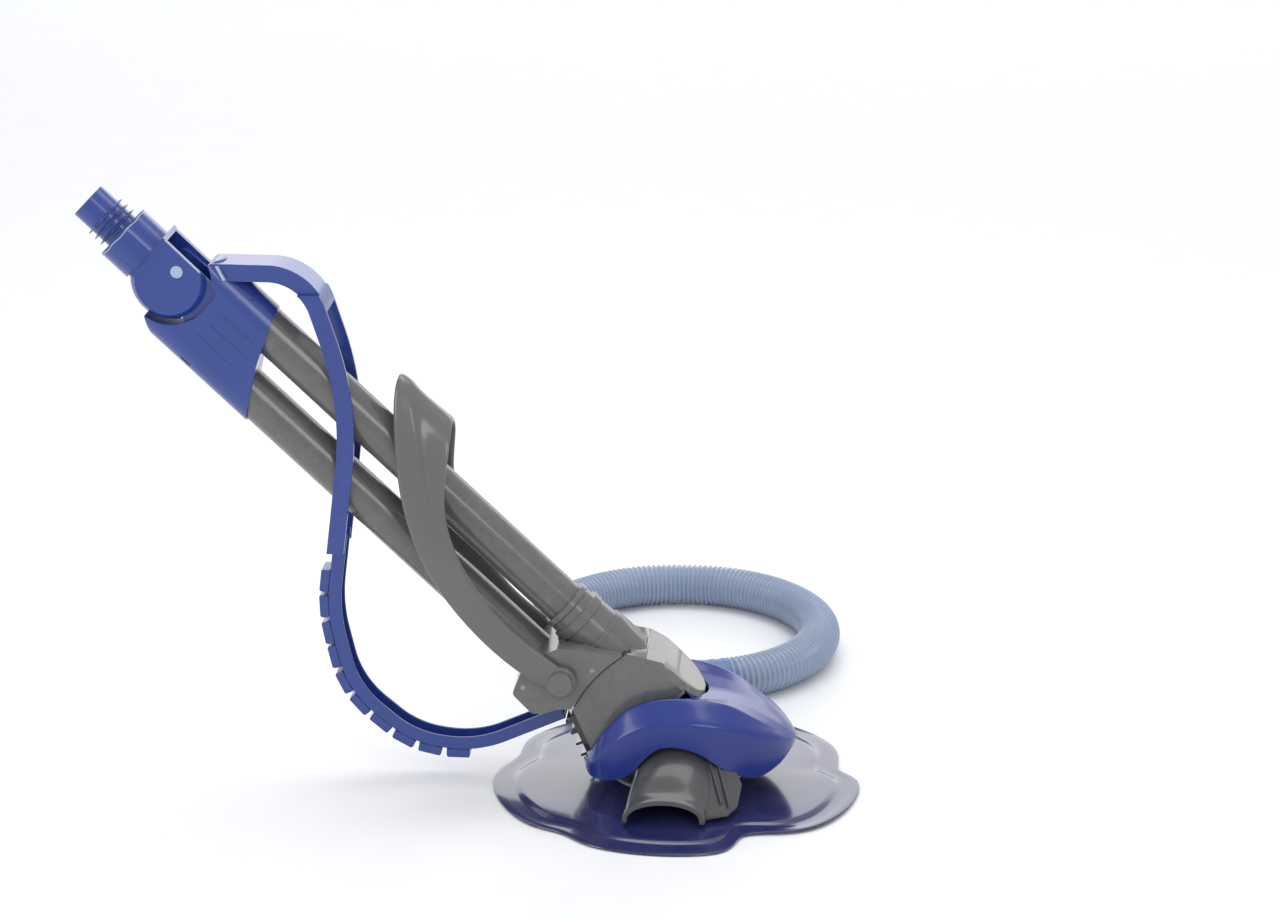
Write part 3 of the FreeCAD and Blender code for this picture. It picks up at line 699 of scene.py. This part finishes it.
# ---------------------------------------------------------------- foot and hood
# hood stations in millimetres: x, half width and height of the side crease, of the shoulder and of the
# dished roof's edge, height of the roof's middle, height of the lower edge
HOOD_STATIONS = (
    (-93, 14, 30, 12, 31, 8, 32, 32, 27),
    (-89, 40, 36, 36, 40, 26, 42, 42, 27),
    (-82, 60, 44, 50, 52, 40, 52, 52, 27),
    (-66, 70, 62, 58, 78, 44, 75, 74, 27),
    (-46, 75, 78, 58, 99, 44, 94, 92, 34),
    (-15, 77, 90, 57, 110, 42, 105, 102, 64),
    (20, 77, 92, 54, 110, 38, 104, 101, 63),
    (55, 70, 86, 46, 101, 26, 99, 97, 40),
    (82, 58, 77, 38, 84, 20, 86, 86, 29),
    (104, 40, 66, 26, 68, 12, 70, 70.5, 36),
    (117, 20, 55.5, 13, 57, 5, 58, 58, 47),
    (120.5, 7, 53.0, 4.5, 53.6, 2, 54, 54, 51),
)
HOOD_SKIN = 3.0


def hood_line(x):
    """The hood's half section at x, from its lower edge up over the shoulder to the middle."""
    crease_y, crease_z, shoulder_y, shoulder_z, roof_y, roof_z, middle_z, low = through(
        HOOD_STATIONS, x
    )
    low = min(low, crease_z - 1.0)
    forward = min(1.0, max(0.0, (x - 10) / 90))
    corners = [(crease_y - 2.0, low), (crease_y, crease_z), (shoulder_y, shoulder_z),
               (roof_y, roof_z),
               (0, middle_z)]
    return filleted(corners, [9.0, 3.0 + 9 * forward, 14.0])


def hood():
    xs = [-93 + 213.5 * i / 110 for i in range(111)]
    rows = []
    for x in xs:
        half = [mm(x, p[0], p[1]) for p in hood_line(x)]
        rows.append([Vector((p.x, -p.y, p.z)) for p in half] + half[-2::-1])
    shell = skin("hood_shell", rows, ring=False, ends=False)
    if sum(face.normal.z * face.area for face in shell.data.polygons) < 0:
        shell.data.flip_normals()
    wall = shell.modifiers.new("wall", "SOLIDIFY")
    wall.thickness = HOOD_SKIN * MM
    wall.offset = -1
    baked(shell)
    cut_by(shell, body_form("body opening", 0.7), comb_form(1.0))
    return fitted(smoothed(shell, 28), "hood_blue", body_of["hood"], "hood")


# ---------------------------------------------------------------- grey body
def body_form(name, grow):
    """The front housing's upper form: a flat-topped block with bevelled shoulders and a round nose."""
    top = 94.0 + grow
    rows = []
    nose = [(-150, 1.0), (-90, 1.0), (-78, 0.985), (-68, 0.92), (-58, 0.76), (-51, 0.56),
            (-46.5, 0.33),
            (-44.4, 0.12)]
    for s, share in nose:
        half = (BODY_HALF + grow) * share
        chamfer = min(8.0, half * 0.6)
        ahead = grow * (1.0 - share)
        section = [(half, 55), (half, top - chamfer), (half - chamfer * 0.9, top),
                   (-half + chamfer * 0.9, top), (-half, top - chamfer), (-half, 55)]
        rows.append([tube_point(s + ahead, h, y) for y, h in section])
    return skin(name, rows)


def front_housing():
    """The housing's moulding, with a flat chamfer round its top face."""
    made = merged(new_object("front_housing_moulding", nodes["front_housing"].data.copy()))
    top, leg, out = 94.0, 6.5, BODY_HALF + 2.0
    slope = [(top - leg - 2, out), (top + 3, out), (top + 3, BODY_HALF - leg - 3)]
    tools = [
        turned("nose chamfer", [(h, r) for h, r in slope], tube_point(-86, 0), SQUARE, ACROSS, 72)
    ]
    for side in (-1, 1):
        rows = [[tube_point(s, h, side * r) for h, r in slope] for s in (-175, -85.9)]
        tools.append(skin("side chamfer", rows))
    inner = plate(
        "behind the nose", [(-175, 70), (-86, 70), (-86, 110), (-175, 110)], -BODY_HALF - 4,
        BODY_HALF + 4
    )
    cut_by(tools[0], inner)
    cut_by(made, *tools)
    shape = bmesh.new()
    shape.from_mesh(made.data)
    bmesh.ops.dissolve_limit(shape, angle_limit=math.radians(1.2), verts=shape.verts,
                             edges=shape.edges,
                             use_dissolve_boundaries=False)
    shape.to_mesh(made.data)
    shape.free()
    return fitted(
        rounded(made, 0.6, angle=24), slot_of["front_housing"], body_of["front_housing"],
        "front_housing"
    )


COMB_START = (-128.0, -8.7)
COMB_END = (-80.0, -28.6)


def comb_way():
    run = Vector((COMB_END[0] - COMB_START[0], COMB_END[1] - COMB_START[1]))
    way = run.normalized()
    return way, Vector((way.y, -way.x)), run.length


def comb_place(along, off, y):
    way, out, _ = comb_way()
    spot = Vector(COMB_START) + way * along + out * off
    return tube_point(spot.x, spot.y, y)


def comb_form(grow):
    _, _, length = comb_way()
    return plate("comb opening", [(-3 - grow, 0), (length + grow, 0), (length + grow, 15 + grow),
                                  (-3 - grow, 15 + grow)], -33 - grow, 33 + grow,
                 lambda a, b, y: comb_place(a, b, y))


def rubber_comb():
    way, out, length = comb_way()
    backing = plate("comb backing", [(0, 0.2), (length, 0.2), (length, 7.4), (0, 7.4)], -33, 33,
                    lambda a, b, y: comb_place(a, b, y))
    rounded(backing, 0.8)
    fitted(backing, "black_rubber", body_of["rubber_comb"], "rubber_comb")
    backing.name = "comb_backing"
    fin = skin("fin", [[mm(x, y, z) for x,
                        y in ((-1.5 * w, -31), (1.5 * w, -31), (1.5 * w, 31), (-1.5 * w, 31))]
                       for z, w in ((-0.5, 1.2), (2, 1.0), (11.0, 0.9))])
    rounded(fin, 0.5)
    facing = tube_point(*(out * 1000)).normalized()
    lying = tube_point(*(way * 1000)).normalized()
    places = [(comb_place(5.3 + 12.5 * i, 3.6, 0), facing, lying) for i in range(4)]
    set_out("comb_fins", fin, places, "black_rubber", body_of["rubber_comb"])


# ---------------------------------------------------------------- handle
# the bail's strip in millimetres: lower edge s and h, upper edge s and h, distance from the middle
# plane, and roll in degrees (0 upright, 90 flat)
HANDLE_STRIP = (
    (-160, -4, -163, 26, 50, 0),
    (-200, -11, -206, 17, 50, 0),
    (-244, -15, -256, 14, 50, 0),
    (-304, -10, -310, 25, 49, 0),
    (-354, 4, -341, 39, 46.5, 4),
    (-392, 23, -364, 52, 42, 9),
    (-424, 46, -384, 72, 37, 16),
    (-453, 72, -399, 91, 31, 30),
    (-477, 95, -411, 107, 22.5, 54),
    (-490, 111, -419, 115, 11, 76),
    (-492, 117, -422, 117, 0, 90),
)
STRIP_HALF = 4.2
HANDLE_PIVOT = (-167.0, 11.0)


def strip_row(row, side, ridge, hollow):
    """One section of the bail: its outer face has a ridge, and the face in front of the ridge is hollow."""
    low_s, low_h, high_s, high_h, y, roll = row
    turn = math.radians(roll)
    front = 1.0 - ridge
    section = [(0.0, 0.0), (0.02, 0.62), (0.08, 0.93), (ridge * 0.55, 0.97),
               (ridge - 0.015, 1.0 + 0.25 * hollow),
               (ridge + 0.015, 1.0 + 0.1 * hollow), (ridge + front * 0.22, 1.0 - 0.95 * hollow),
               (ridge + front * 0.6, 1.0 - 0.75 * hollow), (0.95, 0.92 - 0.1 * hollow),
               (0.985, 0.6), (1.0, 0.0),
               (0.98, -0.62), (0.9, -0.95), (0.5, -1.0), (0.1, -0.95), (0.02, -0.62)]
    points = []
    for across, off in section:
        s = low_s + (high_s - low_s) * across
        h = low_h + (high_h - low_h) * across
        out_y = off * STRIP_HALF * math.cos(turn)
        out_h = off * STRIP_HALF * math.sin(turn)
        points.append(tube_point(s, h + out_h, side * (y + out_y)))
    return points


def handle():
    last = len(HANDLE_STRIP) - 1
    ridges = [(0.5, 0.0)] * 5 + [
        (0.62, 0.1), (0.56, 0.6), (0.42, 1.0), (0.3, 0.8), (0.22, 0.5), (0.18, 0.4)
    ]
    rows = [strip_row(row, -1, *ridges[i]) for i, row in enumerate(HANDLE_STRIP)]
    rows += [strip_row(HANDLE_STRIP[i], 1, *ridges[i]) for i in range(last - 1, -1, -1)]
    bail = subdivided(skin("bail", rows), 2)
    eyes = []
    for side in (-1, 1):
        eye = turned("eye", [(45.6, 0.01), (45.6, 15.5), (54.3, 15.5), (54.3, 0.01)],
                     tube_point(*HANDLE_PIVOT),
                     ACROSS * side, ALONG)
        eyes.append(rounded(eye, 1.0))
    tools = []
    for side in (-1, 1):
        low, high = sorted((side * 51.4, side * 60))
        tools.append(turned("recess", [(low, 0.01), (low, 12.3), (high, 12.3), (high, 0.01)],
                            tube_point(*HANDLE_PIVOT), ACROSS, ALONG))
    whole = joined("bail_handle", [bail] + eyes)
    cut_by(whole, *tools)
    return fitted(smoothed(whole, 40), slot_of["handle"], body_of["handle"], "handle")


# ---------------------------------------------------------------- seal and wings
SEAL_R = 186.0
# the rim's notches: angle in degrees, depth, spread before and after it
RIM_NOTCHES = (
    (-61.0, 31.0, 8.0, 15.0), (-126.0, 9.0, 9.0, 9.0), (11.0, 18.0, 7.0, 14.0),
    (165.0, 14.0, 11.0, 11.0)
)


def rim_radius(angle):
    radius = SEAL_R
    for middle, depth, before, after in RIM_NOTCHES:
        off = (angle - middle + 180) % 360 - 180
        radius -= depth * math.exp(-((off / (after if off > 0 else before)) ** 2))
    return radius


def seal():
    """Thin flexible disc: a collar at the neck, a shallow cone, a raised panel and a flat notched rim."""
    steps = 360
    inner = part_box("seal_bush")[1].x / MM
    rows = []
    for i in range(steps):
        angle = 360.0 * i / steps
        rim = rim_radius(angle)
        spoke = Vector((math.cos(math.radians(angle)), math.sin(math.radians(angle)), 0))
        panel = rim - 24.0
        lift = 2.2 * math.exp(-(((angle - 335 + 180) % 360 - 180) / 28) ** 2)
        wave = 0.6 * math.sin(math.radians(angle * 5))
        top = [(inner, 13.4), (inner + 3, 13.8), (inner + 6, 13.2), (inner + 9, 10.6),
               (inner + 14, 9.2),
               (95, 8.0), (115, 6.6), (panel - 14, 5.6), (panel - 5, 5.2), (panel - 1, 5.0),
               (panel + 2, 3.6),
               (panel + 5, 3.1), (rim - 8, 2.9 + lift * 0.6), (rim - 2, 2.8 + lift + wave),
               (rim - 0.4, 2.5 + lift + wave),
               (rim, 1.7 + lift + wave), (rim - 0.4, 0.9 + lift + wave),
               (rim - 3, 0.5 + lift + wave),
               (rim - 9, 0.25 + lift * 0.5)]
        under = [
            (panel + 4, 0.1), (panel - 6, 0.15), (130, 1.6), (105, 3.2), (80, 4.4), (inner, 4.7)
        ]
        rows.append([spoke * r * MM + UP * z * MM for r, z in top + under])
    disc = skin("seal_sheet", rows + [rows[0]], ends=False)
    merged(disc)
    return fitted(smoothed(disc, 45), slot_of["seal_disc"], body_of["seal_disc"], "seal_disc")


# wing stations in millimetres: distance from the middle, left and right foot in x, crown height, foot height
WING_STATIONS = (
    (-60, -40, 48, 65, 12),
    (-78, -42, 46, 57, 10),
    (-98, -44, 42, 46, 9.6),
    (-113, -45, 37, 35, 9.6),
    (-124, -45, 33, 29, 9.6),
)
WING_SKIN = 3.4


def wing_arc(y, left, right, crown, foot, inset, steps=28):
    """An arch across the wing at y."""
    line = []
    for i in range(steps + 1):
        turn = math.pi * (1 - i / steps)
        middle = (left + right) / 2
        reach = (right - left) / 2 - inset
        rise = (crown - foot - inset) * math.sin(turn) ** 0.75
        lean = 7.0 * (1 - math.sin(turn)) if y < -100 else 0.0
        line.append(mm(middle + reach * math.cos(turn), y - lean * (-y - 100) / 24, foot + rise))
    return line


def wing(side):
    """Saddle-shaped deflector with a thick lip at its mouth, and a ribbed flange in front."""
    rows = []
    for y in range(-60, -125, -4):
        left, right, crown, foot = through([(-s[0], *s[1:]) for s in WING_STATIONS], -y)
        lip = 1.4 if y < -119 else 0.0
        outer = wing_arc(y, left, right, crown, foot, -lip)
        inner = wing_arc(y, left, right, crown, foot, WING_SKIN)
        rows.append(outer + inner[::-1])
    saddle = rounded(skin("saddle", rows), 0.8, limit=50)
    flange_rows = [
        [(20, -60, 62), (60, -58, 44), (60, -59, 41), (20, -61, 59)],
        [(26, -84, 44), (69, -74, 30), (68.5, -76, 27), (26, -86, 41)],
        [(30, -108, 26), (66, -96, 16), (65, -97.5, 13), (30, -110, 23)],
        [(34, -121, 14), (58, -108, 12.5), (57, -109, 10), (34, -122, 10)],
    ]
    flange = rounded(skin("flange", [[mm(*p) for p in row] for row in flange_rows]), 1.2)
    ribs = []
    for shift in (0.0, 9.0):
        near, far = mm(34 + shift, -62, 56 - shift * 0.42), mm(
            50 + shift * 0.9, -104, 21.5 - shift * 0.35
        )
        way = (far - near).normalized()
        across = way.cross(mm(500, 0, -250)).normalized()
        rise = across.cross(way).normalized()
        rib_rows = [[p + across * a * MM + rise * b * MM for a,
                     b in ((-0.9, -1), (0.9, -1), (0.6, 1.2), (-0.6, 1.2))]
                    for p in (near, far)]
        ribs.append(rounded(skin("rib", rib_rows), 0.4))
    whole = joined(
        "wing_right_moulding" if side < 0 else "wing_left_moulding", [saddle, flange] + ribs
    )
    if side > 0:
        whole.data.transform(Matrix.Scale(-1, 4, ACROSS))
        whole.data.flip_normals()
    node = "wing_right" if side < 0 else "wing_left"
    return fitted(smoothed(whole, 40), slot_of[node], body_of[node], node)


# ---------------------------------------------------------------- strap blocks
STRAP_ROUTE = (
    (-470.0, 529.0, 0.0),
    (-360.0, 528.0, 52.0),
    (-319.0, 398.0, 300.0),
    (-347.0, 180.0, 170.0),
    (-328.0, 95.0, 100.0),
    (-267.0, 43.0, 95.0),
    (-203.0, 34.0, 110.0),
    (-113.0, 74.0, 0.0),
)
BLOCK_COUNT = 10
BLOCK_START = 423.5
BLOCK_PITCH = 26.6
CHANNEL_OUTER = 4.5


def strap_line(spacing=1.0):
    """The strap's middle line in X and Z, in millimetres, with a point every spacing."""
    raw = [Vector(STRAP_ROUTE[0][:2])]
    for before, here, after in zip(STRAP_ROUTE, STRAP_ROUTE[1:], STRAP_ROUTE[2:]):
        corner = Vector(here[:2])
        into = (corner - Vector(before[:2])).normalized()
        out = (Vector(after[:2]) - corner).normalized()
        half = into.angle(out) / 2
        reach = here[2] * math.tan(half)
        inward = (out - into).normalized()
        centre = corner + inward * (here[2] / math.cos(half))
        start, end = corner - into * reach - centre, corner + out * reach - centre
        for k in range(25):
            t = k / 24
            raw.append(centre + (start * math.sin((1 - t) * 2 * half)
                                 + end * math.sin(t * 2 * half))
                       / math.sin(2 * half))
    raw.append(Vector(STRAP_ROUTE[-1][:2]))
    line, want = [], 0.0
    for one, other in zip(raw, raw[1:]):
        length = (other - one).length
        while want <= length and length > 0:
            line.append((one.lerp(other, want / length), (other - one) / length))
            want += spacing
        want -= length
    return line


def strap_blocks():
    line = strap_line()
    places = []
    for i in range(BLOCK_COUNT):
        spot, way = line[round(BLOCK_START + BLOCK_PITCH * i)]
        facing = Vector((way.y, 0, -way.x))
        base = Vector((spot.x, 0, spot.y)) * MM + facing * (CHANNEL_OUTER + 0.3) * MM
        places.append((base, facing, Vector((way.x, 0, way.y))))
    block = skin("block",
                 [[mm(x * w, y * d, z) for x, y in ((-12, -13), (12, -13), (12, 13), (-12, 13))]
                           for z, w, d in ((-0.2, 1.0, 1.0), (6.8, 0.99, 1.0), (9.0, 0.9, 0.96))])
    rounded(block, 0.9)
    set_out("strap_block_row", block, places, "shell_blue", body_of["strap_blocks"], "strap_blocks")


# ---------------------------------------------------------------- small fittings
def screw_head(radius_mm, height_mm):
    """Domed head with a cross recess, facing +Z."""
    head = turned("head", [(-1.0, 0.01), (-1.0, radius_mm), (height_mm * 0.45, radius_mm),
                           (height_mm * 0.85, radius_mm * 0.72), (height_mm, radius_mm * 0.3),
                           (height_mm, 0.01)],
                  Vector(), UP, Vector((1, 0, 0)), 28)
    arms = []
    for a, b in ((0.62, 0.16), (0.16, 0.62)):
        corners = [(-a, -b), (a, -b), (a, b), (-a, b)]
        arms.append(skin("arm", [[mm(x * radius_mm, y * radius_mm, z) for x, y in corners]
                                 for z in (height_mm * 0.35, height_mm + 2)]))
    return cut_by(merged(head), *arms)


def screws():
    sides = [(side, spot) for side in (-1, 1) for spot in ((-188, -22), (-152, 40))]
    places = [(tube_point(s, h, side * 45.0), ACROSS * side, ALONG) for side, (s, h) in sides]
    set_out(
        "body_screw_heads", screw_head(2.6, 0.7), places, "screw_steel", body_of["body_screws"],
        "body_screws"
    )
    low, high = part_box("ballast_screws")
    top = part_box("ballast_weight")[1].z
    middle = (low.x + high.x) / 2
    places = [
        (Vector((middle, side * (high.y - 0.0045), top)), UP, Vector((1, 0, 0))) for side in (-1, 1)
    ]
    set_out("ballast_screw_heads", screw_head(4.5, 2.6), places, "screw_steel",
            body_of["ballast_screws"],
            "ballast_screws")


def swivel_shim():
    """Pale wavy washer in the joint between the nipple and the collar."""
    rows = []
    steps = 96
    centre = tube_point(COLLAR_START - 0.2, NIPPLE_H)
    for i in range(steps):
        turn = 2 * math.pi * i / steps
        spoke = ACROSS * math.cos(turn) + SQUARE * math.sin(turn)
        wave = 0.45 * math.sin(turn * 9)
        rows.append([centre + (ALONG * (a + wave) + spoke * r) * MM
                     for a, r in ((-0.5, 28.6), (-0.5, 30.0), (0.5, 30.0), (0.5, 28.6))])
    made = skin("swivel_shim", rows + [rows[0]], ends=False)
    return fitted(smoothed(merged(made), 60), "pin_pale", "nipple")


def manifold_details():
    """Raised ribs along the manifold's flat sides, and pale plates by the strap's root that are a painted
    highlight.
    """
    rib = skin("rib", [[mm(x * w, y * d, z) for x,
                        y in ((-24, -0.7), (24, -0.7), (24, 0.7), (-24, 0.7))]
                       for z, w, d in ((-0.4, 1, 1), (0.7, 0.98, 0.5))])
    places = []
    for side in (-1, 1):
        for s, h in ((-640, 12), (-634, 28), (-640, 44)):
            places.append((tube_point(s, h, side * 24.3), ACROSS * side, ALONG))
    set_out("manifold_ribs", rounded(rib, 0.2), places, "shell_blue", body_of["manifold"])
    # pale plates by the strap's root that stand in for a painted highlight
    highlight_plates = []
    for side in (-1, 1):
        low, high = sorted((side * 20, side * 25.2))
        highlight_plates.append(
            plate("clip", [(-694, 75.5), (-691.5, 77.5), (-677, 72.5), (-679, 70)], low, high)
        )
    made = rounded(joined("strap_clips", highlight_plates), 0.6)
    return fitted(made, "pin_pale", body_of["manifold"])


# ---------------------------------------------------------------- making
camera()
ribbed_hose = ribbed_hose_tree()
set_out_in_a_row = set_out_tree()
moulding_grain = moulding_grain_group()
settled_dust = settled_dust_group()
rubbed_edge = rubbed_edge_group()
drawn_streaks = drawn_streaks_group()
finishes = {
    "shell_blue": finish("medium blue shell", (0.016, 0.045, 0.240), (0.019, 0.050, 0.262), 0.24,
        coat=0.35),
    "hood_blue": finish("royal blue hood", (0.007, 0.024, 0.205), (0.008, 0.028, 0.225), 0.22,
        coat=0.2,
                        coat_gloss=0.05),
    "body_grey": finish("warm grey body", (0.120, 0.118, 0.116), (0.128, 0.126, 0.124), 0.22,
        coat=0.35),
    "tube_grey": finish("drawn grey tube", (0.112, 0.106, 0.102), (0.122, 0.116, 0.112), 0.2,
        coat=0.35,
                        streaks=0.12, grain_depth=0.01),
    "wing_grey": finish("dark grey wing", (0.056, 0.056, 0.060), (0.062, 0.062, 0.066), 0.24,
        coat=0.3),
    "seal_navy": finish("navy seal rubber", (0.016, 0.019, 0.085), (0.021, 0.025, 0.098), 0.16,
        coat=0.6,
                        coat_gloss=0.09, shade_scale=8.0),
    "black_rubber": finish("glossy black rubber", (0.006, 0.006, 0.007), (0.010, 0.010, 0.011),
        0.14, coat=0.6),
    "hose_pale": finish("pale blue hose", (0.25, 0.32, 0.45), (0.28, 0.35, 0.48), 0.24,
        through_glow=0.2,
                        rubbed=0.3, coat=0.3),
    "cuff_blue": finish("soft blue cuff", (0.10, 0.17, 0.36), (0.12, 0.20, 0.40), 0.4),
    # the pale washer's colour, also used as a painted highlight on the plates by the strap's root
    "pin_pale": finish("pale fitting and painted highlight", (0.34, 0.42, 0.60), (0.38, 0.46, 0.64), 0.3, rubbed=0.0),
    "weight_metal": finish("coated iron weight", (0.10, 0.10, 0.10), (0.13, 0.13, 0.13), 0.5,
        metal=0.6),
    "screw_steel": finish("stainless screw", (0.30, 0.30, 0.30), (0.36, 0.36, 0.35), 0.34,
        metal=0.8, dust=0.0),
    "inner_white": finish("plain inner plastic", (0.30, 0.30, 0.29), (0.34, 0.34, 0.33), 0.45),
}
hose()
studio()
for node, made in nodes.items():
    made.data.materials.clear()
    made.data.materials.append(finishes[slot_of[node]])
for node, edge_mm in {
    "hose_nipple": 0.5, "knuckle": 1.2, "knuckle_pins": 0.8, "manifold": 1.2, "strap_top_band": 1.0,
    "strap_rail_left": 1.0, "strap_rail_right": 1.0, "strap_joint_bars": 0.8, "strap_channel": 0.8,
    "rear_housing": 1.2, "tube_sleeve": 0.6, "handle_studs": 0.5, "foot_frame": 1.0,
    "foot_pad": 0.8,
}.items():
    moulded(node, edge_mm)
hood()
front_housing()
rubber_comb()
handle()
seal()
wing(-1)
wing(1)
strap_blocks()
screws()
swivel_shim()
manifold_details()

bpy.context.scene.view_settings.view_transform = "Standard"
